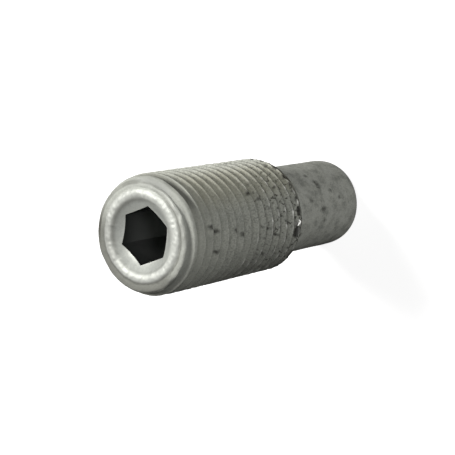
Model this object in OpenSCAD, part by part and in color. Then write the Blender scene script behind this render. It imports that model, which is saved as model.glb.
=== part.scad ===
// Stud bolt: a threaded barrel with a hexagon socket in one end and a plain pin on the other.
// It is turned and rolled from one bar of steel, so it is one solid.
// It stands on its pin. The origin is the centre of the pin's end face, and +Z runs along the
// axis to the socket end. Thread M14 x 1.5, right-hand; hexagon key 6 mm.
// The thread is drawn as rings of the true 60 degree section, one for each turn.

/* [Lengths] */
// Plain pin, from its end face to the shoulder
pin_len = 15.5; // [8:0.5:40]
// Threaded barrel, from the shoulder to the crest of the bead on the socket end
barrel_len = 23; // [12:0.5:60]

/* [Pin] */
// Pin diameter
pin_d = 11; // [8:0.1:12]
// How far in the pin's worn end edge is cut
pin_edge_r = 0.3; // [0.1:0.05:1]
// How far along the pin its end edge is cut
pin_edge_len = 1; // [0.2:0.1:3]

/* [Thread] */
// Major diameter over the crests
thread_d = 14; // [13.8:0.05:14]
// Pitch, from crest to crest
pitch = 1.5; // [1:0.25:1.5]

/* [Socket end] */
// How far the first crests are rounded down at the end face
front_drop = 0.88; // [0.4:0.02:0.9]
// Depth over which they are rounded down
front_len = 2.3; // [1:0.1:4]
// Radius of the crest of the broad bead round the socket
bead_r = 4.83; // [4.7:0.01:4.9]
// Half the width of the bead
bead_half_w = 0.63; // [0.5:0.01:0.7]
// Height of the bead over the groove outside it
bead_h = 0.22; // [0.1:0.01:0.35]
// How far the crest of the narrow outer ridge lies below the crest of the bead
ridge_drop = 0.1; // [0:0.01:0.2]

/* [Socket] */
// Size across the flats of the hexagon
hex_af = 6; // [5:0.5:6]
// Depth of the hexagon, from the bead's crest
hex_depth = 10; // [6:0.5:11]
// Full angle of the countersink at its mouth
countersink_angle = 120; // [90:5:140]
// Full angle of the drill's point below the hexagon
drill_angle = 118; // [90:2:140]

/* [Hidden] */
$fn = 60;
total_len = pin_len + barrel_len;
pin_r = pin_d / 2;
major_r = thread_d / 2;
// Metric thread section: crest land P/8, flanks at 30 degrees, depth 0.613 P
flank_slope = tan(30);
crest_land = pitch / 8;
thread_depth = 0.61343 * pitch;
root_r = major_r - thread_depth;
// Depth of the first crest's middle below the end, and the number of whole turns that fit
first_crest = 0.86 * pitch;
turns_room = barrel_len - first_crest - half_land(root_r);
crests = floor(turns_room / pitch) + 1;
// Round stretches of the outline are drawn with this many steps
arc_steps = 8;
// The ridge fills the face between the bead and the rounded front edge
rim_r = front_r(bead_h);
bead_outer_r = bead_r + bead_half_w;
ridge_r = (bead_outer_r + rim_r) / 2;
ridge_half_w = (rim_r - bead_outer_r) / 2;
mouth_r = bead_r - bead_half_w;
// The countersink's recess ends inside the hexagon, which cuts its middle away
recess_r = hex_af / 2 - 0.5;
recess_z = total_len - bead_h - (mouth_r - recess_r) / tan(countersink_angle / 2);
// The hole drilled before the hexagon was pressed in is just narrower than its flats
drill_r = hex_af / 2 - 0.05;
drill_point = drill_r / tan(drill_angle / 2);

// Outer radius at a depth below the end: a parabola that meets the crests at front_len
function front_r(depth) =
    depth >= front_len ? major_r : major_r - front_drop * pow(1 - depth / front_len, 2);

// Half the width of the land that a crest keeps where it is cut down to radius r
function half_land(r) = crest_land / 2 + (major_r - r) * flank_slope;

// Points over a round ridge on the end face, from its outer edge to its inner edge:
// an arc of a circle, with its crest at r, half its width and its height given
function ridge_arc(r, half_w, drop, h) =
    let (
        arc_r = (half_w * half_w + h * h) / (2 * h),
        half_angle = asin(half_w / arc_r)
    )
    [for (i = [0 : arc_steps])
        let (a = half_angle * (1 - 2 * i / arc_steps))
        [r + arc_r * sin(a), total_len - drop - arc_r * (1 - cos(a))]];

// One turn of thread from below: root, flank, crest land, flank, root
function crest_points(depth) =
    let (
        z = total_len - depth,
        r = front_r(depth),
        land = half_land(r),
        foot = half_land(root_r)
    )
    [[root_r, z - foot], [r, z - land], [r, z + land], [root_r, z + foot]];

// Outline of half the stud, from the pin's end round to the socket end
stud_outline = concat(
    [[0, 0]],
    [for (i = [0 : arc_steps])
        let (a = 90 * i / arc_steps)
        [pin_r - pin_edge_r * (1 - sin(a)), pin_edge_len * (1 - cos(a))]],
    [[pin_r, pin_len], [root_r, pin_len]],
    [for (i = [crests - 1 : -1 : 0]) each crest_points(first_crest + i * pitch)],
    ridge_arc(ridge_r, ridge_half_w, ridge_drop, bead_h - ridge_drop),
    [for (p = ridge_arc(bead_r, bead_half_w, 0, bead_h)) if (p[0] < bead_outer_r - 0.001) p],
    [[recess_r, recess_z], [0, recess_z]]
);

// Hexagon hole with the point of the drilled hole below it
module socket_cut() {
    translate([0, 0, total_len - hex_depth]) {
        cylinder(h = hex_depth + 1, r = hex_af / 2 / cos(30), $fn = 6);
        rotate_extrude()
            polygon([
                [0, -drill_point],
                [drill_r, 0],
                [drill_r, 1],
                [0, 1]
            ]);
    }
}

// The whole stud: the turned outline with the socket pressed into its threaded end
module stud() {
    color([0.47, 0.48, 0.45])
    difference() {
        rotate_extrude()
            polygon(stud_outline);
        socket_cut();
    }
}

stud();
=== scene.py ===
"""Looks of the stud bolt: a threaded barrel with a hexagon socket, and a plain pin below it.

The stud is one closed surface. Its thread is a strip that winds up the barrel, so that crests and
roots run along the strip's own rows. The end face with its bead, the socket, the shoulder and the
pin are rings that close the strip at both ends. The shape functions work in millimetres, and the
mesh is written in metres.
"""

import math

import bpy
import numpy as np
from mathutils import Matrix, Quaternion, Vector


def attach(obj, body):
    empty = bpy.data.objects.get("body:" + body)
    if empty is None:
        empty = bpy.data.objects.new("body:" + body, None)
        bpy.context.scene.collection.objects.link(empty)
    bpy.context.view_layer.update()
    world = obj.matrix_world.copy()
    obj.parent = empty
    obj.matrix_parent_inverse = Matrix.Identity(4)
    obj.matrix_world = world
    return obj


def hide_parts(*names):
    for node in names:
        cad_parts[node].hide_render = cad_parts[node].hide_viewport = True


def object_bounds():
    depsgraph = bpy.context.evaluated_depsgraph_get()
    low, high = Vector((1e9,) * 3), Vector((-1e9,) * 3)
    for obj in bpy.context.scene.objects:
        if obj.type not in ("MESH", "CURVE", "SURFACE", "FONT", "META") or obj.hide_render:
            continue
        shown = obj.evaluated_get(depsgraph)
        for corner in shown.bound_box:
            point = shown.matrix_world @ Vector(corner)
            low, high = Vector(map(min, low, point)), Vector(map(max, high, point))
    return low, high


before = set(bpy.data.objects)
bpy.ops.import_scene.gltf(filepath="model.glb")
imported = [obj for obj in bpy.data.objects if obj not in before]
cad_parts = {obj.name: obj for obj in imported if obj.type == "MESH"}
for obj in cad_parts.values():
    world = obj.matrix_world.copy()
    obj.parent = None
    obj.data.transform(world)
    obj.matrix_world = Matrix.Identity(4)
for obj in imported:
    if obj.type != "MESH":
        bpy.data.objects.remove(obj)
cad_low, cad_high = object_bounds()

MM = 0.001

# Sizes of the stud in millimetres
LENGTH = cad_high.z / MM
MAJOR_R = (cad_high.x - cad_low.x) / 2 / MM
SHOULDER_Z = 15.5
PIN_R = 5.5
PIN_EDGE_R = 0.3
PIN_EDGE_LEN = 1.0
PITCH = 1.5
THREAD_DEPTH = 0.61343 * PITCH
HALF_LAND = PITCH / 16
FLANK_SLOPE = math.tan(math.radians(30))
FIRST_CREST = 1.22              # depth of the first crest below the end, at angle 0
FRONT_DROP = 0.88               # how far the crests are rounded down at the end
FRONT_LEN = 2.3                 # depth over which they are rounded down
CREST_LIFT = 0.008              # makes up for what the rounded corners take off a crest
ROOT_AT_SHOULDER = 0.12         # depth of the thread where it runs out at the shoulder
RUN_OUT_SLOPE = 0.9             # how fast it deepens from there, for each millimetre up
SHOULDER_BREAK = 0.35           # how far the last crest is cut back at the shoulder
BREAK_SLOPE = 1.4
FILLET = 0.12                   # between the pin and the shoulder
RIM_DEPTH = 0.27                # depth of the outer edge of the end face
RIM_Z = LENGTH - RIM_DEPTH
BEAD_R = 4.83
BEAD_HALF_W = 0.63
BEAD_H = 0.22
CREASE = 0.03                   # depth of the fine crease between the bead and the countersink
GROOVE_R = BEAD_R + BEAD_HALF_W
MOUTH_R = BEAD_R - BEAD_HALF_W
RIDGE_R = 5.84                  # where the outer ridge reaches its full height
RIDGE_H = 0.12
LOW_RIDGE = 0.33                # share of that height which the low side keeps
CONE_CURVE = 1.3                # power of the countersink's curve, where 1 is a straight cone
COUNTERSINK_FALL = math.tan(math.radians(30))
HEX_FLAT_R = 3.0                # from the axis to the middle of a wall of the hexagon
HEX_FLOOR_Z = LENGTH - 10
DRILL_R = 2.95
DRILL_POINT = 1.77              # depth of the drilled point below the hexagon's floor

# Places round the stud: the angle of the middle, how far to either side the place is full, and how
# far out it ends, all in degrees
FULL_RIDGE = (-20, 60, 110)     # the outer ridge has its full height
LUMPY_RIDGE = (-50, 35, 75)
LOW_RIDGE_DIRT = (99, 45, 80)   # dirt on the low side of the ridge, and only a faint dark line in the groove
WIDE_LINE = (-36, 20, 70)       # the dark line in the groove of the end face is wide
RIDGE_FILM = (-141, 60, 100)    # dirt all over the ridge
RIDGE_PATCH = (84, 8, 24)       # a small dark patch on the ridge
WIDE_CREASE_SHADE = (125, 45, 85)     # the painted shade at the countersink's mouth is wide
REFLECTING_FLANK = (-6, 25, 65)      # the bead's inner flank is broad and paler, as a painted reflection, with no painted crease shade
BEAD_VEIL = (169, 15, 48)       # a thin film on the bead
# the rubbed side of the outer ridge, paler as a painted highlight
RUBBED_HIGHLIT_RIDGE = (25, 30, 90)
LIP_HIGHLIGHT = (55, 14, 34)       # where the thread starts: a painted highlight
UNSHADED_FLANKS = (-20, 55, 95)    # the flanks of the thread get no painted shade, and their crest lines are a little weaker
SPECKLED_SIDE = (-20, 30, 70)   # the barrel's specks are darker, and its painted crest shade lines fade more
FIRST_GROOVE = (55, 30, 65)     # the first groove of the thread is dark
UNDERSIDE = (-115, 35, 90)
OIL_STRIP = (31, 7, 34)
DRY_SIDE = (0, 92, 126)         # no patches of oil
SPLASHED = (30, 20, 45)         # splashes on the pin
SHADED_WALL = (-150, 30.5)        # one wall of the socket, kept darker as painted shade: its middle and half its width

# Heights between which the darkening near the shoulder grows weaker toward the socket end; along the
# crests it is painted shade
ROOT_FADE = (22, 28)            # dirt in the roots
FILM_FADE = (24, 34)            # the film on the underside
CREST_SHADE_FADE = (20, 27)
SPECK_FADE = (19, 29)

# Radii on the end face between which dirt or polish (partly painted highlight) begins, then where it ends
RIDGE_FILM_R = (5.0, 5.4)
LOW_FILM_R = (5.84, 5.98)
WIDE_FILM_R = (5.4, 5.6)
PATCH_R = (5.8, 6.0)
VEIL_R = (4.2, 4.6, 5.2, 5.4)
RUBBED_HIGHLIT_R = (5.45, 5.60, 5.95, 6.2)

# Fineness of the mesh
AROUND = 288                    # steps round the stud, 48 for each side of the hexagon
ANGLE = 2 * np.pi * np.arange(AROUND) / AROUND
SECTION = (0, 0.075, 0.10, 0.14, 0.22, 0.34, 0.48, 0.60)   # rows of one turn, from a crest's middle
SNAP = 0.02                     # a row this near the rim or the shoulder is drawn in to it
PIN_END_RADII = (1.5, 3.0, 4.2, 4.9)
PIN_EDGE_ROWS = 9
PIN_ROWS = 40
RIDGE_ROWS = 11
BEAD_ROWS = 14
CONE_ROWS = 9
WALL_SHARES = (0.006, 0.04, 0.15, 0.35, 0.65, 1.0)         # rows down the hexagon's walls
FLOOR_SHARES = (1.0, 0.7, 0.35)                            # rows in over the socket's floor


# ------------------------------------------------------------------ helpers
def soft_max(a, b, width):
    """The larger of a and b, with the corner between them rounded over about width."""
    return (a + b + np.sqrt((a - b) ** 2 + width ** 2)) / 2


def soft_min(a, b, width):
    """The smaller of a and b, with the corner between them rounded over about width."""
    return -soft_max(-a, -b, width)


def smooth_step(x, low, high):
    """0 below low and 1 above high, with a smooth S between them."""
    t = np.clip((x - low) / (high - low), 0, 1)
    return t * t * (3 - 2 * t)


def turned_from(angle, centre_deg):
    """Angle in radians from a place on the stud given in degrees, from -pi to pi."""
    return (angle - math.radians(centre_deg) + np.pi) % (2 * np.pi) - np.pi


def sector(angle, place):
    """1 in the middle of a place round the stud, and falling to 0 where it ends."""
    centre_deg, full_deg, end_deg = place
    away = np.abs(turned_from(angle, centre_deg))
    return 1 - smooth_step(away, math.radians(full_deg), math.radians(end_deg))


def band(x, start, full, fade, end):
    """1 from full to fade, and falling to 0 at start and at end."""
    return smooth_step(x, start, full) * (1 - smooth_step(x, fade, end))


def bell(x, width):
    """A bell curve: 1 at 0, and about a third at width to either side."""
    return np.exp(-(x / width) ** 2)


def unevenness(angle, z, waves, wavelength, seed):
    """Smooth unevenness of about -1 to 1 on the cylinder: a sum of cosine waves of random heading,
    each with a whole number of periods round the stud, so that it closes on itself."""
    rng = np.random.default_rng(seed)
    total = np.zeros(np.broadcast(angle, z).shape)
    for _ in range(waves):
        heading = rng.uniform(0, np.pi)
        rate = 2 * np.pi / wavelength * rng.uniform(0.6, 1.5)
        periods = round(rate * math.cos(heading) * MAJOR_R)
        phase = rng.uniform(0, 2 * np.pi)
        total += np.cos(periods * angle + rate * math.sin(heading) * z + phase)
    return total * math.sqrt(2 / waves) / 1.5


# ------------------------------------------------------------------ thread
def above_crest(angle, z):
    """Height over the nearest crest's middle, from minus to plus half a pitch: a saw wave of the
    height, less the height that the right-hand thread has climbed at that angle."""
    turns = (z - LENGTH + FIRST_CREST) / PITCH - angle / (2 * np.pi)
    return (turns - np.round(turns)) * PITCH


def crest_distance(angle, z):
    """Distance along the axis from the nearest crest's middle: a triangle wave."""
    return np.abs(above_crest(angle, z))


def front_radius(z):
    """Radius to which the first crests are rounded down: a parabola up to the full radius."""
    short = np.clip(1 - (LENGTH - z) / FRONT_LEN, 0, 1)
    return MAJOR_R - FRONT_DROP * short ** 2


def shoulder_radius(z):
    """Radius to which the last crest is broken at the shoulder: a short steep chamfer."""
    return MAJOR_R - SHOULDER_BREAK + BREAK_SLOPE * (z - SHOULDER_Z)


def thread_radius(angle, z):
    """Radius of the thread: flat crests, straight 30 degree flanks and round roots that grow shallow
    at the shoulder, held within the rounded front and the broken edge of the shoulder."""
    flank_depth = (crest_distance(angle, z) - HALF_LAND) / FLANK_SLOPE
    run_out = ROOT_AT_SHOULDER + RUN_OUT_SLOPE * (z - SHOULDER_Z)
    depth = soft_max(flank_depth, 0, 0.03)
    depth = soft_min(depth, soft_min(THREAD_DEPTH, run_out, 0.1), 0.12)
    radius = MAJOR_R + CREST_LIFT - depth
    radius = soft_min(radius, front_radius(z), 0.05)
    return soft_min(radius, shoulder_radius(z), 0.06)


# ------------------------------------------------------------------ end face
def ridge_height(angle):
    """Height of the flat outer ridge over the groove: full over nearly half a turn, a third of that
    over the rest, and uneven round it."""
    share = LOW_RIDGE + (1 - LOW_RIDGE) * sector(angle, FULL_RIDGE)
    return RIDGE_H * share * (1 + 0.40 * unevenness(angle, 0, 9, 2.6, 9))


def bead_depth(angle, radius):
    """Depth of the bead below its crest: an arc of a circle across the bead, uneven round it."""
    arc_r = (BEAD_HALF_W ** 2 + BEAD_H ** 2) / (2 * BEAD_H)
    off = radius - BEAD_R - 0.055 * unevenness(angle, 0, 12, 2.2, 5)
    off = np.clip(off, -0.95 * arc_r, 0.95 * arc_r)
    waves = 0.018 * unevenness(angle, radius, 14, 1.7, 6)
    ripples = 0.015 * unevenness(angle, radius, 20, 0.9, 7)
    return arc_r - np.sqrt(arc_r ** 2 - off ** 2) + waves + ripples


def face_depth(angle, radius, rim):
    """Depth of the end face below the bead's crest: the groove round the bead, then the outer ridge,
    which is flat, lumpy on one side, and falls off to the rim as a fifth power. The bead rises
    inside it."""
    rise = smooth_step(radius, GROOVE_R, RIDGE_R)
    fall = np.clip((radius - RIDGE_R) / (rim - RIDGE_R), 0, 1) ** 5
    ridge = BEAD_H - ridge_height(angle) * rise
    outer = ridge + (RIM_DEPTH - ridge) * fall
    lump_height = 0.013 + 0.012 * sector(angle, LUMPY_RIDGE)
    outer = outer + lump_height * unevenness(angle, radius, 20, 1.2, 8) * (1 - fall)
    return soft_min(outer, bead_depth(angle, radius), 0.03)


def cone_fall(radius):
    """How far the countersink falls from its mouth to a radius: a power curve, steep at the mouth and
    flatter near the hexagon."""
    left = np.clip((radius - HEX_FLAT_R) / (MOUTH_R - HEX_FLAT_R), 0, 1)
    return (MOUTH_R - HEX_FLAT_R) * COUNTERSINK_FALL * (1 - left ** CONE_CURVE)


def hex_radius(angle):
    """Distance of the hexagon's sides from the axis, with corners at 0 degrees and every 60."""
    return HEX_FLAT_R / np.cos(angle % (np.pi / 3) - np.pi / 6)


# ------------------------------------------------------------------ rows of the surface
def thread_strip():
    """Heights of the winding strip's rows: each row is at a fixed distance from a crest and climbs
    one pitch in a turn. The first rows lie below the shoulder and the last above the rim."""
    section = np.array(SECTION + (PITCH / 2,) + tuple(PITCH - s for s in SECTION[:0:-1]))
    turns = math.ceil((LENGTH - SHOULDER_Z) / PITCH) + 3
    start = LENGTH - FIRST_CREST - PITCH * (turns - 1)
    heights = (PITCH * np.arange(turns + 1)[:, None] + section[None, :]).ravel()
    return start + heights[:, None] + PITCH * ANGLE[None, :] / (2 * np.pi), len(section)


def pin_rings():
    """Rings from the middle of the pin's end out to its rounded edge, an arc of an ellipse, up the
    pin and out over the shoulder."""
    rings = [(np.full(AROUND, r), np.zeros(AROUND)) for r in PIN_END_RADII]
    for a in np.linspace(0, np.pi / 2, PIN_EDGE_ROWS):
        ring_r = PIN_R - PIN_EDGE_R * (1 - math.sin(a))
        rings.append((np.full(AROUND, ring_r), np.full(AROUND, PIN_EDGE_LEN * (1 - math.cos(a)))))
    for z in np.linspace(PIN_EDGE_LEN + 0.35, SHOULDER_Z - FILLET, PIN_ROWS):
        rings.append((np.full(AROUND, PIN_R), np.full(AROUND, z)))
    rings.append((np.full(AROUND, PIN_R + FILLET / 3), np.full(AROUND, SHOULDER_Z - FILLET / 3)))
    rings.append((np.full(AROUND, PIN_R + FILLET), np.full(AROUND, SHOULDER_Z)))
    return rings


def face_rings(rim):
    """Rings from the rim in over the end face and the bead, and down the countersink's cone to the
    hexagon, whose edge lies on the cone. The unevenness of the mouth fades out down the cone."""
    rings = []
    for share in np.linspace(0, 1, RIDGE_ROWS + 1)[1:]:
        radius = rim + (GROOVE_R - rim) * share
        rings.append((radius, LENGTH - face_depth(ANGLE, radius, rim)))
    for share in np.linspace(0, 1, BEAD_ROWS + 1)[1:]:
        radius = np.full(AROUND, GROOVE_R + (MOUTH_R - GROOVE_R) * share)
        rings.append((radius, LENGTH - face_depth(ANGLE, radius, rim)))
    mouth_z = rings[-1][1]
    level_z = mouth_z.mean()
    for share in np.linspace(0, 1, CONE_ROWS + 1)[1:]:
        radius = MOUTH_R + (hex_radius(ANGLE) - MOUTH_R) * share
        uneven = (mouth_z - level_z) * (1 - share) ** 3
        rings.append((radius, level_z + uneven - cone_fall(radius)))
    return [(radius, z - CREASE * bell(radius - MOUTH_R, 0.10)) for radius, z in rings]


def socket_rings(edge_z):
    """Rings down the hexagon's walls, in over its floor and down the drill's point."""
    rings = []
    for share in WALL_SHARES:
        rings.append((hex_radius(ANGLE), edge_z + (HEX_FLOOR_Z - edge_z) * share))
    for share in FLOOR_SHARES:
        floor_z = HEX_FLOOR_Z - DRILL_POINT * (1 - share)
        rings.append((np.full(AROUND, DRILL_R * share), np.full(AROUND, floor_z)))
    return rings


# ------------------------------------------------------------------ wear
# Pits in the barrel: angle in degrees, height and radius in millimetres
PITS = (
    (15, 25.4, 0.32), (7, 23.8, 0.34), (32, 20.8, 0.24), (56, 26.0, 0.24), (30, 18.7, 0.22),
    (17, 19.6, 0.18), (10, 29.6, 0.26), (-11, 34.3, 0.34), (-16, 33.1, 0.32), (-19, 29.6, 0.32),
    (-24, 28.2, 0.34), (-2, 22.2, 0.20), (-5, 20.8, 0.20), (-24, 22.6, 0.22), (-24, 20.7, 0.22),
    (-32, 22.0, 0.24), (-32, 21.0, 0.22), (-40, 23.3, 0.26), (-47, 23.4, 0.26), (-53, 22.5, 0.28),
    (-47, 19.0, 0.24), (-40, 18.2, 0.24), (-42, 25.9, 0.22), (-37, 32.9, 0.30),
)
# Slits in the torn last turns: from one angle to another in degrees, from one height to another, and
# half the width, in millimetres
SLITS = (
    (-8, -16, 16.35, 16.32, 0.13), (-10, -14, 15.95, 15.92, 0.16), (-29, -38, 16.30, 16.42, 0.19),
    (-24, -42, 15.86, 15.98, 0.10), (-38, -50, 17.52, 17.47, 0.09), (28, 22, 16.45, 16.30, 0.10),
    (25, 15, 15.93, 15.88, 0.08), (11, 4, 15.92, 15.88, 0.08),
)
NICK = ((-23.8, -25.0, 16.52, 16.78, 0.22),)    # the one place torn to bright metal, in the same way
# Burrs on the crests, rubbed bright: angle, height and half the width
BURRS = (
    (-3, 17.7, 0.07), (-12, 19.2, 0.08), (-24, 19.2, 0.06), (-16, 23.7, 0.06), (-8, 20.7, 0.06),
    (15, 23.1, 0.06), (14, 19.3, 0.06), (29, 21.0, 0.06), (8, 17.8, 0.06), (22, 20.9, 0.05),
)
BURR_STRETCH = 4.5              # times as long as wide
BURR_LIFT = 0.06                # of a burr's middle over the crest's
# Stains on the pin: angle, height and radius
STAINS = (
    (21, 8.6, 0.50), (17, 8.4, 0.50), (13, 8.3, 0.45), (-17, 8.6, 0.60), (-4, 11.0, 0.40),
    (33, 9.4, 0.40), (-32, 8.1, 0.40), (-47, 13.2, 0.45), (6, 6.1, 0.40), (-6, 4.5, 0.35),
)


def scattered(count, low, high, smallest, largest, seed):
    """Random places all round the stud between two heights, as angle, height and radius."""
    rng = np.random.default_rng(seed)
    angles = rng.uniform(-180, 180, count)
    heights = rng.uniform(low, high, count)
    sizes = smallest + (largest - smallest) * rng.random(count) ** 2
    return tuple(zip(angles, heights, sizes))


def spots(angle, z, places, length=1.0):
    """1 in the middle of each place and falling off as a bell curve, with an uneven edge. Length
    stretches the places round the stud."""
    edge = 1 + 0.13 * unevenness(angle, z, 24, 0.9, 31)
    most = np.zeros(angle.shape)
    for centre_deg, centre_z, size in places:
        across = MAJOR_R * turned_from(angle, centre_deg) / length
        away = np.hypot(across, z - centre_z) * edge / size
        most = np.maximum(most, bell(away, 1))
    return most


def slits(angle, z, places):
    """1 along the middle of each slit, which is a straight line on the unrolled barrel, and falling
    off to its sides as a bell curve with an uneven edge."""
    edge = 1 + 0.20 * unevenness(angle, z, 24, 0.7, 36)
    most = np.zeros(angle.shape)
    for start_deg, end_deg, start_z, end_z, half_width in places:
        along = MAJOR_R * math.radians(end_deg - start_deg)
        climb = end_z - start_z
        x = MAJOR_R * turned_from(angle, start_deg)
        y = z - start_z
        share = np.clip((x * along + y * climb) / (along ** 2 + climb ** 2), 0, 1)
        away = np.hypot(x - share * along, y - share * climb) * edge / half_width
        most = np.maximum(most, bell(away, 1))
    return most


def crest_streaks(angle, z, places):
    """Bright burrs along the crests: long thin spots that follow the thread, made by measuring their
    height from the crest."""
    most = np.zeros(angle.shape)
    for centre_deg, centre_z, size in places:
        turned = turned_from(angle, centre_deg)
        start = crest_below(math.radians(centre_deg), centre_z)
        crest_z = start + PITCH * turned / (2 * np.pi)
        away = np.hypot(MAJOR_R * turned / BURR_STRETCH, z - crest_z - BURR_LIFT) / size
        most = np.maximum(most, bell(away, 1))
    return most


def crest_below(angle, z):
    """Height of the nearest crest's middle under a point on the barrel."""
    first = LENGTH - FIRST_CREST + PITCH * angle / (2 * np.pi)
    return first - PITCH * math.ceil((first - z) / PITCH)


class Zones:
    """Shares from 0 to 1 that say which part of the stud each vertex is on: its side as a whole, the
    barrel, the pin's side, the crests, and the end face out to its rim."""

    def __init__(self, angle, radius, z, inside):
        self.outside = smooth_step(radius, 5.3, 5.5) * (z < RIM_Z + 0.2)
        self.barrel = self.outside * smooth_step(z, SHOULDER_Z - 0.05, SHOULDER_Z + 0.02)
        self.pin_side = self.outside * (1 - self.barrel)
        self.crest = self.barrel * (1 - smooth_step(crest_distance(angle, z), 0.12, 0.30))
        self.end_face = (z > LENGTH - 1.0) * (radius < 6.4) * (1 - inside)


class Marks:
    """Marks cut into the barrel, each 1 in its middle: pits, slits, tears and the bright nick."""

    def __init__(self, angle, z, barrel):
        small_pits = spots(angle, z, scattered(70, SHOULDER_Z, 33, 0.08, 0.22, 32))
        low_pits = spots(angle, z, scattered(170, SHOULDER_Z, 24, 0.10, 0.24, 35))
        self.pits = spots(angle, z, PITS) * barrel
        self.small_pits = np.maximum(small_pits, low_pits) * barrel
        self.slits = slits(angle, z, SLITS) * barrel
        self.tears = spots(angle, z, scattered(46, 15.5, 16.9, 0.08, 0.20, 33), 1.8) * barrel
        self.nick = slits(angle, z, NICK) * barrel


def change_of_radius(angle, radius, z, zones, marks):
    """How far wear moves each vertex outwards: broad and fine unevenness, burrs on the crests, ragged
    last turns and lumps behind the end face, less the depth of the marks. The nick is a plateau that
    stands a little over the crests."""
    broad = 0.010 * unevenness(angle, z, 18, 4.0, 21)
    fine = 0.003 * unevenness(angle, z, 30, 0.9, 22)
    burrs = 0.010 * zones.crest * unevenness(angle, z, 36, 0.8, 23)
    last_turn = zones.barrel * (1 - smooth_step(z, SHOULDER_Z + 1.1, SHOULDER_Z + 2.0))
    ragged = 0.022 * last_turn * unevenness(angle, z, 40, 0.6, 24)
    lumps = 0.025 * smooth_step(z, LENGTH - 3, LENGTH - 1) * unevenness(angle, z, 14, 3.0, 25)
    change = zones.outside * (broad + fine + lumps) + burrs + ragged
    plateau = smooth_step(marks.nick, 0.15, 0.40)
    change += plateau * (MAJOR_R + 0.03 - radius - change)
    change -= 0.07 * marks.pits + 0.03 * marks.small_pits + 0.26 * marks.slits + 0.06 * marks.tears
    return np.minimum(change, MAJOR_R + 0.12 - radius)


def dark_marks(angle, z, zones, marks):
    """How dark the marks in the barrel are, with stains and specks on the pin, and splashes just
    below the shoulder on one side. The black in the slits is partly painted shade."""
    # the slits' black is partly painted shade
    dark = 0.9 * marks.pits + 0.6 * marks.small_pits + 1.8 * marks.slits + 0.8 * marks.tears
    stains = spots(angle, z, STAINS)
    specks = spots(angle, z, scattered(60, 0.5, 15.3, 0.08, 0.20, 34))
    splashes = spots(angle, z, scattered(130, 12.2, 14.2, 0.07, 0.17, 36))
    splashes *= sector(angle, SPLASHED)
    on_pin = (0.75 * stains + 0.5 * specks + 0.5 * splashes) * zones.pin_side
    return np.maximum(np.clip(dark, 0, 1), on_pin) * (1 - marks.nick)


def bare_metal(angle, z, zones, marks):
    """The bright nick, and fainter burrs rubbed bright along the crests."""
    faint = 0.22 * crest_streaks(angle, z, scattered(150, SHOULDER_Z + 1, 27, 0.07, 0.10, 41))
    clear = 0.55 * crest_streaks(angle, z, BURRS)
    streaks = np.maximum(faint, clear) * zones.barrel
    return np.clip(smooth_step(marks.nick, 0.25, 0.5) + streaks, 0, 1)


def face_dirt_and_shade(angle, radius):
    """Darkening on the end face: a dark line in the groove, wider on one side and faint where the ridge
    is low, dirt as a film over parts of the ridge and a patch on it, painted shade in the crease at the
    countersink's mouth, and a veil of dirt on the bead."""
    low = sector(angle, LOW_RIDGE_DIRT)
    wide = sector(angle, WIDE_LINE)
    line = bell(radius - GROOVE_R - 0.10 * wide, 0.14 + 0.07 * wide)
    line *= (0.5 + 0.12 * wide) * (1 - 0.8 * low)
    film = 0.70 * sector(angle, RIDGE_FILM) * smooth_step(radius, *RIDGE_FILM_R)
    film += 0.38 * low * smooth_step(radius, *LOW_FILM_R)
    film = np.maximum(film, 0.26 * wide * smooth_step(radius, *WIDE_FILM_R))
    patch = 0.55 * sector(angle, RIDGE_PATCH) * smooth_step(radius, *PATCH_R)
    wide = sector(angle, WIDE_CREASE_SHADE)
    # painted shade in the crease at the countersink's mouth
    crease = bell(radius - MOUTH_R, 0.17 + 0.12 * wide)
    crease *= (0.3 + 0.25 * wide) * (1 - sector(angle, REFLECTING_FLANK))
    veil = 0.32 * sector(angle, BEAD_VEIL) * band(radius, *VEIL_R)
    return np.maximum.reduce((line, film, patch, crease, veil))


def thread_darkening_and_shade(angle, z):
    """Darkening in the thread: in the roots, more toward the shoulder, painted shade up the deep part of
    the flanks on one side, and dark in the first groove behind the end face over a quarter of a turn."""
    from_crest = crest_distance(angle, z)
    roots = (0.52 - 0.22 * smooth_step(z, *ROOT_FADE)) * smooth_step(from_crest, 0.38, 0.50)
    # painted shade on the deep part of the flanks
    flanks = 0.6 * (1 - sector(angle, UNSHADED_FLANKS)) * smooth_step(from_crest, 0.18, 0.32)
    groove = 0.68 * sector(angle, FIRST_GROOVE) * smooth_step(from_crest, 0.08, 0.30)
    groove *= band(LENGTH - z, 0.9, 1.1, 2.6, 3.0)
    return np.maximum.reduce((roots, flanks, groove))


def barrel_darkening(angle, z):
    """Darkening on the barrel: that in the thread, and a darker underside, more so near the shoulder. It
    ends at the end face."""
    film = 0.62 * sector(angle, UNDERSIDE) * (1 - 0.5 * smooth_step(z, *FILM_FADE))
    return np.maximum(film, thread_darkening_and_shade(angle, z)) * smooth_step(LENGTH - z, 0.45, 0.75)


def barrel_oil(angle, z):
    """A thin brownish film of oil: along a strip of the thread, and in patches round the back."""
    strip = sector(angle, OIL_STRIP)
    patches = 0.6 * np.clip(unevenness(angle, z, 12, 9.0, 51), 0, 1)
    patches *= 1 - sector(angle, DRY_SIDE)
    return np.maximum(strip, patches) * (1 - smooth_step(z, LENGTH - 5.0, LENGTH - 2.0))


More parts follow.
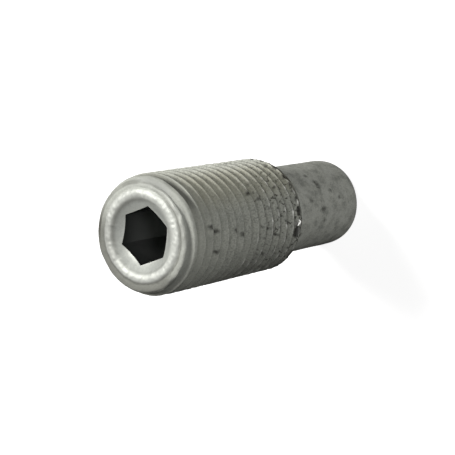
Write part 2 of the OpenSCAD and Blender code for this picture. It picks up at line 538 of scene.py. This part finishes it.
def crest_shade_lines(angle, z):
    """A painted shade line just behind the middle of each crest, where the next turn hides the deep
    flank:
    clear near the shoulder, fainter toward the socket, and gone where the crests are rounded down."""
    # painted shade: a thin dark line just behind each crest
    crest_shade = bell(above_crest(angle, z) + 0.04, 0.09)
    crest_shade *= 0.95 - 0.10 * sector(angle, UNSHADED_FLANKS)
    crest_shade *= smooth_step(front_radius(z), MAJOR_R - 0.4, MAJOR_R - 0.05)
    fade = 0.45 + 0.30 * sector(angle, SPECKLED_SIDE)
    return crest_shade * (1 - fade * smooth_step(z, *CREST_SHADE_FADE))


def edges_with_slivers(z, zones):
    """The crests and the shoulder's edge in the last turns, which get dark ragged slivers."""
    edges = np.maximum(zones.crest, 1 - smooth_step(z, SHOULDER_Z + 0.15, SHOULDER_Z + 0.45))
    return edges * zones.barrel * (1 - smooth_step(z, SHOULDER_Z + 1.2, SHOULDER_Z + 2.4))


def bead_share(angle, radius):
    """1 on the bead, and nearly that down its inner flank where the flank is broad."""
    bead = 1 - smooth_step(np.abs(radius - BEAD_R + 0.05), 0.42, 0.70)
    flank = (1 - smooth_step(BEAD_R - radius, 0.5, 1.2)) * (radius < BEAD_R)
    return np.maximum(bead, 0.9 * sector(angle, REFLECTING_FLANK) * flank)


def rubbed_and_highlit(angle, radius, z, zones):
    """Where the stud is rubbed smooth and paler, partly as a painted highlight: the bead, whose broad
    inner flank gets a painted reflection, one side of the outer ridge, and a short lip where the thread
    starts, whose paleness is a painted highlight."""
    ridge = 0.45 * sector(angle, RUBBED_HIGHLIT_RIDGE) * band(radius, *RUBBED_HIGHLIT_R)
    # painted highlight on the lip
    lip = sector(angle, LIP_HIGHLIGHT) * bell(LENGTH - z - 0.47, 0.20) * zones.outside
    return np.maximum(zones.end_face * np.maximum(bead_share(angle, radius), ridge), lip)


def painted_socket_light_and_shade(angle, z):
    """Painted light and shade in the socket: paler the deeper a point lies, as painted light, with one
    wall counted as less deep, as painted shade.
    """
    centre_deg, half_deg = SHADED_WALL
    dark_wall = np.abs(turned_from(angle, centre_deg)) < math.radians(half_deg)
    return smooth_step(LENGTH - z, 0.5, 8.0) * (1 - 0.45 * dark_wall)


def wear(angle, radius, z, inside):
    """The wear of each vertex: the change of its radius, and by name the strengths from 0 to 1 that
    the finish reads, some of which are painted light and shade."""
    zones = Zones(angle, radius, z, inside)
    marks = Marks(angle, z, zones.barrel)
    dirt_and_shade_on_face = face_dirt_and_shade(angle, radius) * zones.end_face
    cone = zones.end_face * (1 - bead_share(angle, radius)) * (1 - smooth_step(radius, 5.2, 5.5))
    speckled = (1 - smooth_step(z, *SPECK_FADE)) * (0.7 + 0.5 * sector(angle, SPECKLED_SIDE))
    strengths = {
        # dark marks; the black in the slits is partly painted shade
        "pit_and_slit_shade": dark_marks(angle, z, zones, marks),
        "bare": bare_metal(angle, z, zones, marks),
        # dirt and darkening, with painted shade in the crease and on the deep flanks
        "dirt_and_shade": np.maximum(dirt_and_shade_on_face, barrel_darkening(angle, z) * zones.barrel),
        "oily": barrel_oil(angle, z) * zones.barrel,
        # painted shade lines behind the crests
        "crest_shade": crest_shade_lines(angle, z) * zones.barrel,
        "edge_slivers": edges_with_slivers(z, zones),
        "speckled": speckled * zones.barrel,
        # rubbed smooth, partly painted highlight and reflection
        "rubbed_and_highlit": rubbed_and_highlit(angle, radius, z, zones),
        "cone": cone,
        "pin": 1 - smooth_step(z, SHOULDER_Z - 0.3, SHOULDER_Z + 0.1),
        "socket": inside,
        # painted light, paler deeper in the socket, and painted shade on one wall
        "socket_lit_and_shaded": painted_socket_light_and_shade(angle, z) * inside,
    }
    return change_of_radius(angle, radius, z, zones, marks), strengths


# ------------------------------------------------------------------ mesh
class Surface:
    """Vertices in cylinder coordinates and faces, gathered ring by ring."""

    def __init__(self):
        self.angle, self.radius, self.z, self.inside, self.faces = [], [], [], [], []
        self.count = 0

    def add(self, angle, radius, z, inside=0.0):
        """Adds vertices and gives back their numbers, in the shape of the arrays. Inside is 1 for
        those in the socket."""
        angle, radius, z = np.broadcast_arrays(angle, radius, z)
        self.inside.append(np.full(angle.size, inside))
        self.angle.append(angle.ravel())
        self.radius.append(radius.ravel())
        self.z.append(z.ravel())
        numbers = self.count + np.arange(angle.size).reshape(angle.shape)
        self.count += angle.size
        return numbers

    def quads(self, a, b, c, d):
        """Adds the faces a, b, c, d, each cut into two triangles, and leaves out empty ones."""
        for corners in ((a, b, c), (a, c, d)):
            tri = np.stack([np.ravel(k) for k in corners], axis=1)
            full = (tri[:, 0] != tri[:, 1]) & (tri[:, 1] != tri[:, 2]) & (tri[:, 0] != tri[:, 2])
            self.faces.append(tri[full])

    def bridge(self, low, high):
        """Joins two rings all the way round."""
        self.quads(low, np.roll(low, -1), np.roll(high, -1), high)


def stud_surface():
    """The whole stud: rings of the pin, the thread's strip, rings of the end face and socket."""
    surface = Surface()
    zero = np.zeros(1)
    pole = np.repeat(surface.add(zero, zero, zero), AROUND)
    last = pole
    for radius, z in pin_rings():
        ring = surface.add(ANGLE, radius, z)
        surface.bridge(last, ring)
        last = ring
    foot = surface.add(ANGLE, thread_radius(ANGLE, SHOULDER_Z), np.full(AROUND, SHOULDER_Z))
    surface.bridge(last, foot)

    z, per_turn = thread_strip()
    rim_r = thread_radius(ANGLE, RIM_Z)
    rim = surface.add(ANGLE, rim_r, np.full(AROUND, RIM_Z))
    angle = np.broadcast_to(ANGLE, z.shape)
    number = np.where(z < SHOULDER_Z + SNAP, foot[None, :], rim[None, :])
    free = (z >= SHOULDER_Z + SNAP) & (z <= RIM_Z - SNAP)
    number[free] = surface.add(angle[free], thread_radius(angle[free], z[free]), z[free])
    number = np.vstack([number, np.repeat(rim[None, :], per_turn, axis=0)])
    rows = len(z) - 1
    after = np.hstack([number[:, 1:], np.roll(number[:, :1], -per_turn, axis=0)])
    surface.quads(number[:rows], after[:rows], after[1:rows + 1], number[1:rows + 1])

    last = rim
    face = face_rings(rim_r)
    socket = socket_rings(face[-1][1])
    for inside, rings in ((0.0, face), (1.0, socket)):
        for radius, z in rings:
            ring = surface.add(ANGLE, radius, z, inside)
            surface.bridge(last, ring)
            last = ring
    bottom = np.repeat(surface.add(zero, zero, zero + HEX_FLOOR_Z - DRILL_POINT, 1.0), AROUND)
    surface.bridge(last, bottom)
    return surface


def make_stud():
    """The stud's mesh in metres, with the wear moved into its vertices and kept for the finish."""
    surface = stud_surface()
    angle = np.concatenate(surface.angle)
    radius = np.concatenate(surface.radius)
    z = np.concatenate(surface.z)
    change, strengths = wear(angle, radius, z, np.concatenate(surface.inside))
    radius = radius + change
    points = np.stack([radius * np.cos(angle), radius * np.sin(angle), z], axis=1) * MM
    mesh = bpy.data.meshes.new("stud_bolt")
    mesh.from_pydata(points.tolist(), [], np.concatenate(surface.faces).tolist())
    mesh.update()
    mesh.shade_smooth()
    mesh.set_sharp_from_angle(angle=math.radians(38))
    for name, values in strengths.items():
        kept = mesh.attributes.new(name, "FLOAT", "POINT")
        kept.data.foreach_set("value", values.astype(np.float32))
    stud = bpy.data.objects.new("stud_bolt", mesh)
    bpy.context.scene.collection.objects.link(stud)
    return stud


# ------------------------------------------------------------------ finishes
# Colours of the zinc, of what is on it, and of painted light and shade
DARK_ZINC = (0.44, 0.45, 0.40)
PALE_ZINC = (0.573, 0.585, 0.517)
STREAK = (0.64, 0.65, 0.60)
END_ZINC = (0.49, 0.52, 0.51)
DARK_GRAIN = (0.27, 0.275, 0.25)
PALE_GRAIN = (0.75, 0.77, 0.71)
PALE_PIN = (0.72, 0.735, 0.675)
DARK_PIN = (0.27, 0.28, 0.26)
# paler where rubbed, partly a painted highlight
RUBBED_HIGHLIT_ZINC = (0.60, 0.614, 0.58)
CONE_ZINC = (0.19, 0.20, 0.215)
OIL = (0.57, 0.535, 0.35)
# dirt and darkening, partly painted shade
DIRT_AND_SHADE = (0.10, 0.098, 0.085)
# painted shade behind the crests
CREST_SHADE_COLOUR = (0.045, 0.045, 0.04)
# black of pits and marks, partly painted shade in the slits
PIT_AND_SHADE = (0.028, 0.027, 0.024)
SOCKET_TOP = (0.024, 0.026, 0.025)
# paler deep in the socket: painted light
SOCKET_PAINTED_LIGHT = (0.25, 0.26, 0.25)
BARE_METAL = (0.93, 0.93, 0.90)


def add_node(tree, kind, inputs=None, **settings):
    """A new node, with its settings and with its inputs set to a value or linked to a socket."""
    made = tree.nodes.new(kind)
    for name, value in settings.items():
        setattr(made, name, value)
    for socket, value in (inputs or {}).items():
        if isinstance(value, bpy.types.NodeSocket):
            tree.links.new(value, made.inputs[socket])
        else:
            made.inputs[socket].default_value = value
    return made


def strength(tree, name):
    """One of the wear's strengths, kept on the vertices."""
    return add_node(tree, "ShaderNodeAttribute", attribute_name=name).outputs["Fac"]


def maths(tree, operation, a, b):
    """The sum, product, difference or larger one of two values."""
    return add_node(tree, "ShaderNodeMath", {0: a, 1: b}, operation=operation).outputs[0]


def remap(tree, value, low, high, to_low, to_high):
    """A value taken in a straight line from low and high to new ends, and held between them."""
    inputs = {"Value": value, 1: low, 2: high, 3: to_low, 4: to_high}
    return add_node(tree, "ShaderNodeMapRange", inputs).outputs[0]


def noise(tree, place, size_mm, detail, rough=0.55):
    """Noise from 0 to 1 whose largest features are about size_mm across."""
    inputs = {"Vector": place, "Scale": 1000 / size_mm, "Detail": detail, "Roughness": rough}
    return add_node(tree, "ShaderNodeTexNoise", inputs).outputs["Fac"]


def tint(tree, share, under, over):
    """Colour under changed towards colour over by a share from 0 to 1."""
    mix = add_node(tree, "ShaderNodeMix", {"Factor": share}, data_type="RGBA")
    for socket, value in ((mix.inputs[6], under), (mix.inputs[7], over)):
        if isinstance(value, bpy.types.NodeSocket):
            tree.links.new(value, socket)
        else:
            socket.default_value = (*value, 1)
    return mix.outputs[2]


def worn_tint(tree, name, share, under, over):
    """A tint by one of the wear's strengths times a share, which is a number or a pattern."""
    return tint(tree, maths(tree, "MULTIPLY", strength(tree, name), share), under, over)


class Patterns:
    """The patterns that the finish is mixed from, all on the stud's own coordinates: five noises, a
    grain whose strength falls toward the socket end, and the last stretch before it."""

    def __init__(self, tree):
        place = add_node(tree, "ShaderNodeTexCoord").outputs["Object"]
        squeezed = add_node(tree, "ShaderNodeMapping", {"Vector": place, "Scale": (1, 1, 3.5)}).outputs[0]
        height = add_node(tree, "ShaderNodeSeparateXYZ", {"Vector": place}).outputs[2]
        self.clouds = noise(tree, place, 2.4, 4, 0.62)
        self.pin_clouds = noise(tree, place, 1.3, 3, 0.6)
        self.streaks = noise(tree, squeezed, 0.9, 3)
        self.slivers = noise(tree, squeezed, 0.7, 2, 0.6)
        self.specks = noise(tree, place, 0.45, 2, 0.6)
        self.grain = noise(tree, place, 0.20, 2, 0.6)
        self.grain_strength = remap(tree, height, 30 * MM, 37.5 * MM, 1.0, 0.35)
        self.at_end = remap(tree, height, 37.0 * MM, 37.8 * MM, 0, 0.25)


def zinc_colour(tree, patterns):
    """Mottled and streaked grey with a fine grain, which is weaker toward the socket end."""
    mottling = remap(tree, patterns.clouds, 0.32, 0.68, 0, 1)
    colour = tint(tree, mottling, DARK_ZINC, PALE_ZINC)
    colour = tint(tree, remap(tree, patterns.streaks, 0.5, 0.8, 0, 0.35), colour, STREAK)
    colour = tint(tree, patterns.at_end, colour, END_ZINC)
    dark = remap(tree, patterns.grain, 0.52, 0.34, 0, 0.60)
    colour = tint(tree, maths(tree, "MULTIPLY", patterns.grain_strength, dark), colour, DARK_GRAIN)
    pale = remap(tree, patterns.grain, 0.54, 0.72, 0, 0.35)
    colour = tint(tree, maths(tree, "MULTIPLY", patterns.grain_strength, pale), colour, PALE_GRAIN)
    pale = remap(tree, patterns.pin_clouds, 0.44, 0.66, 0.08, 0.55)
    colour = worn_tint(tree, "pin", pale, colour, PALE_PIN)
    dark = remap(tree, patterns.pin_clouds, 0.48, 0.32, 0, 0.45)
    return worn_tint(tree, "pin", dark, colour, DARK_PIN)


def worn_colour(tree, patterns, colour):
    """The zinc's colour changed where it is rubbed, partly as a painted highlight, oily, dirty or darker,
    partly as painted shade, and with painted shade lines along the crests.
    """
    # paler where rubbed, partly a painted highlight
    colour = worn_tint(tree, "rubbed_and_highlit", 0.7, colour, RUBBED_HIGHLIT_ZINC)
    colour = worn_tint(tree, "cone", 0.28, colour, CONE_ZINC)
    colour = worn_tint(tree, "oily", 0.26, colour, OIL)
    # dirt and darkening, partly painted shade
    colour = tint(tree, strength(tree, "dirt_and_shade"), colour, DIRT_AND_SHADE)
    broken = remap(tree, patterns.streaks, 0.35, 0.65, 1.0, 0.5)
    # painted shade: a dark line behind each crest, broken by the streaks
    return worn_tint(tree, "crest_shade", broken, colour, CREST_SHADE_COLOUR)


def dark_share(tree, patterns):
    """How black the pits, the slivers at the edges of the last turns and the specks near the shoulder
    are, whichever is most.
    """
    slivers = remap(tree, patterns.slivers, 0.50, 0.57, 0, 0.9)
    edge_slivers = maths(tree, "MULTIPLY", strength(tree, "edge_slivers"), slivers)
    specks = remap(tree, patterns.specks, 0.58, 0.66, 0, 0.65)
    speckled = maths(tree, "MULTIPLY", strength(tree, "speckled"), specks)
    uneven_edge = remap(tree, patterns.specks, 0.3, 0.7, -0.14, 0.14)
    pits = remap(tree, maths(tree, "ADD", strength(tree, "pit_and_slit_shade"), uneven_edge), 0.14, 1.0, 0, 0.94)
    return maths(tree, "MAXIMUM", maths(tree, "MAXIMUM", edge_slivers, speckled), pits)


def whole_colour(tree, patterns):
    """The zinc's colour with the dark marks, the socket with its painted light and shade, and the bare
    metal on it.
    """
    colour = worn_colour(tree, patterns, zinc_colour(tree, patterns))
    # black marks, partly painted shade in the slits
    colour = tint(tree, dark_share(tree, patterns), colour, PIT_AND_SHADE)
    # painted light deep in the socket, and painted shade on one wall
    hole = tint(tree, strength(tree, "socket_lit_and_shaded"), SOCKET_TOP, SOCKET_PAINTED_LIGHT)
    colour = tint(tree, strength(tree, "socket"), colour, hole)
    return tint(tree, strength(tree, "bare"), colour, BARE_METAL)


def dulled_share(tree):
    """More than 0 on the pin, in the socket and in the pits."""
    dulled = maths(tree, "ADD", strength(tree, "pin"), strength(tree, "socket"))
    return maths(tree, "ADD", dulled, strength(tree, "pit_and_slit_shade"))


def metal_share(tree):
    """How metallic the finish is: hardly, but more on the bead and the countersink, and fully where
    it is bare."""
    metal = remap(tree, dulled_share(tree), 0, 1, 0.02, 0)
    metal = maths(tree, "ADD", metal, maths(tree, "MULTIPLY", strength(tree, "rubbed_and_highlit"), 0.32))
    metal = maths(tree, "ADD", metal, maths(tree, "MULTIPLY", strength(tree, "cone"), 0.40))
    return maths(tree, "MAXIMUM", metal, strength(tree, "bare"))


def roughness(tree, patterns):
    """How rough the finish is: uneven, more where it is dulled and less where it is bare."""
    rough = remap(tree, patterns.clouds, 0.3, 0.7, 0.56, 0.46)
    rough = maths(tree, "ADD", rough, maths(tree, "MULTIPLY", dulled_share(tree), 0.12))
    rough = maths(tree, "ADD", rough, maths(tree, "MULTIPLY", strength(tree, "rubbed_and_highlit"), 0.05))
    return maths(tree, "SUBTRACT", rough, maths(tree, "MULTIPLY", strength(tree, "bare"), 0.3))


def relief(tree, patterns):
    """Fine bumps of the grain and the streaks."""
    grain_height = maths(tree, "MULTIPLY", patterns.grain_strength, 0.6)
    grain = maths(tree, "MULTIPLY", patterns.grain, grain_height)
    height = maths(tree, "ADD", grain, patterns.streaks)
    inputs = {"Height": height, "Strength": 0.4, "Distance": 0.02 * MM}
    return add_node(tree, "ShaderNodeBump", inputs).outputs[0]


def zinc_finish():
    """Dull zinc on steel: mottled and grained, dark in pits and grooves, partly as painted shade, dark in
    the socket but paler deep in it as painted light, smoother and paler on the bead, partly as a painted
    highlight, paler and cloudy on the pin, and bare and bright on burrs."""
    mat = bpy.data.materials.new("dull_zinc")
    mat.use_nodes = True
    tree = mat.node_tree
    shader = tree.nodes["Principled BSDF"]
    patterns = Patterns(tree)
    tree.links.new(whole_colour(tree, patterns), shader.inputs["Base Color"])
    tree.links.new(metal_share(tree), shader.inputs["Metallic"])
    tree.links.new(roughness(tree, patterns), shader.inputs["Roughness"])
    tree.links.new(relief(tree, patterns), shader.inputs["Normal"])
    shader.inputs["Specular IOR Level"].default_value = 0
    shader.inputs["Specular Tint"].default_value = (0.4, 0.4, 0.4, 1)
    return mat


# ------------------------------------------------------------------ floor, light and camera
WHITE = (1, 1, 1)
WARM_WHITE = (1.0, 0.99, 0.975)


def white_to_the_eye(name, dull_colour, pale_colour, glow_strength):
    """A finish that is dull to the light that bounces off it, and white to the camera and in
    reflections. The white is a glow and a diffuse part, and the diffuse part keeps the shadow."""
    mat = bpy.data.materials.new(name)
    mat.use_nodes = True
    tree = mat.node_tree
    tree.nodes.clear()
    path = add_node(tree, "ShaderNodeLightPath")
    seen = maths(tree, "MAXIMUM", path.outputs["Is Camera Ray"], path.outputs["Is Glossy Ray"])
    seen = maths(tree, "MAXIMUM", seen, path.outputs["Is Transmission Ray"])
    dull = add_node(tree, "ShaderNodeBsdfDiffuse", {"Color": dull_colour})
    pale = add_node(tree, "ShaderNodeBsdfDiffuse", {"Color": pale_colour})
    glow = add_node(tree, "ShaderNodeEmission", {"Strength": glow_strength})
    white = add_node(tree, "ShaderNodeAddShader", {0: pale.outputs[0], 1: glow.outputs[0]})
    mix = add_node(tree, "ShaderNodeMixShader", {0: seen, 1: dull.outputs[0], 2: white.outputs[0]})
    add_node(tree, "ShaderNodeOutputMaterial", {"Surface": mix.outputs[0]})
    return mat


def make_floor_and_backdrop():
    """A round floor, and a low wall round its edge so that it shows white to the horizon."""
    radius = 1.5
    wall = 1.0
    steps = 96
    turn = 2 * np.pi * np.arange(steps) / steps
    edge = np.stack([radius * np.cos(turn), radius * np.sin(turn)], axis=1)
    foot = [(x, y, 0) for x, y in edge]
    top = [(x, y, wall) for x, y in edge]
    sides = [(i, i + steps, (i + 1) % steps + steps, (i + 1) % steps) for i in range(steps)]
    finish = white_to_the_eye("pale_floor", (0.05, 0.05, 0.05, 1), (0.5, 0.5, 0.5, 1), 0.85)
    glow = white_to_the_eye("pale_backdrop", (0.05, 0.05, 0.05, 1), (0, 0, 0, 1), 1.0)
    for name, points, faces, mat in (
        ("floor", foot, [tuple(range(steps))], finish),
        ("backdrop", foot + top, sides, glow),
    ):
        mesh = bpy.data.meshes.new(name)
        mesh.from_pydata(points, [], faces)
        mesh.materials.append(mat)
        piece = bpy.data.objects.new(name, mesh)
        bpy.context.scene.collection.objects.link(piece)


def make_world():
    """A dim, even light from above the backdrop."""
    world = bpy.data.worlds.new("studio")
    bpy.context.scene.world = world
    world.use_nodes = True
    light = world.node_tree.nodes["Background"]
    light.inputs["Color"].default_value = (1, 1, 1, 1)
    light.inputs["Strength"].default_value = 0.015


def soft_lamp(name, towards, distance, size, power, colour):
    """A square soft lamp, aimed at a point inside the barrel from a distance along a direction."""
    lamp = bpy.data.lights.new(name, "AREA")
    lamp.shape = "SQUARE"
    lamp.size = size
    lamp.energy = power
    lamp.color = colour
    holder = bpy.data.objects.new(name, lamp)
    aim = Vector((0, 0, 25 * MM))
    direction = Vector(towards).normalized()
    holder.location = aim + direction * distance
    holder.rotation_euler = direction.to_track_quat("Z", "Y").to_euler()
    bpy.context.scene.collection.objects.link(holder)


def make_camera():
    """The camera looks down on the stud with its axis lying across the view."""
    data = bpy.data.cameras.new("camera")
    data.sensor_width = 36
    data.lens = 118.36
    camera = bpy.data.objects.new("camera", data)
    aim = Vector((-0.106, -0.890, 21.982)) * MM
    azimuth = math.radians(83.185)
    elevation = math.radians(53.854)
    roll = math.radians(-101.287)
    distance = 180.007 * MM
    back = Vector((
        math.sin(azimuth) * math.cos(elevation),
        -math.cos(azimuth) * math.cos(elevation),
        math.sin(elevation),
    ))
    camera.location = aim + back * distance
    level = back.to_track_quat("Z", "Y")
    camera.rotation_mode = "QUATERNION"
    camera.rotation_quaternion = level @ Quaternion((0, 0, 1), roll)
    bpy.context.scene.collection.objects.link(camera)
    bpy.context.scene.camera = camera


make_camera()
stud = make_stud()
stud.data.materials.append(zinc_finish())
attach(stud, "root")
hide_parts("stud")
make_floor_and_backdrop()
make_world()
soft_lamp("key_lamp", (-0.225, 0.41, 0.885), distance=0.6, size=0.2, power=3.85, colour=WARM_WHITE)
soft_lamp("fill_lamp", (0.845, -0.065, 0.48), distance=0.8, size=0.4, power=2.35, colour=WHITE)
soft_lamp("side_lamp", (-0.407, 0.913, 0.15), distance=0.6, size=0.15, power=0.6, colour=WHITE)
bpy.context.scene.view_settings.view_transform = "Standard"
